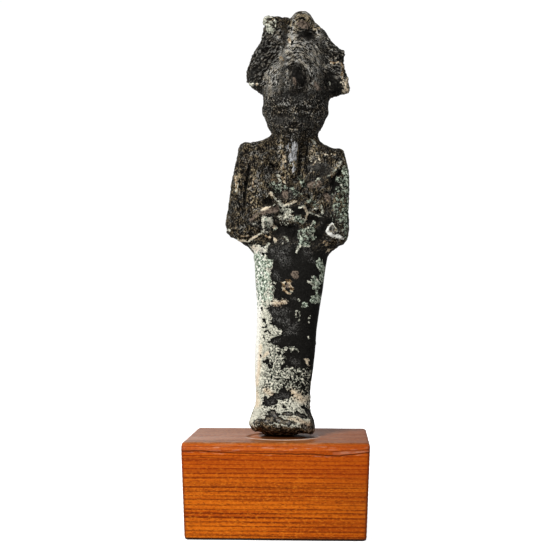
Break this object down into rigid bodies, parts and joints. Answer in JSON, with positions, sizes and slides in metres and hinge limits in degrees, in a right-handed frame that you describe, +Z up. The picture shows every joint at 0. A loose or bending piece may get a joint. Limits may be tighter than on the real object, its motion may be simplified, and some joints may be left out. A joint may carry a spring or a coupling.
{
  "type": "osiris figure",
  "caption": "Small corroded cast-bronze mummiform figure with a plumed crown, false beard, crook and flail, standing on a sawn softwood block.",
  "frame": {"origin": "centre of the wooden block's underside", "axes": "+Z up through the figure, the figure faces -Y, +X is to the right of a viewer in front"},
  "size_m": [0.048, 0.039, 0.1394],
  "materials": {
    "bronze_patina": "near-black corroded bronze with pale green and cream crust",
    "oiled_softwood": "orange-brown oiled softwood with fine straight grain"
  },
  "bodies": {
    "root": {"bronze_figure": "bronze_patina", "wooden_block": "oiled_softwood"}
  },
  "joints": []
}
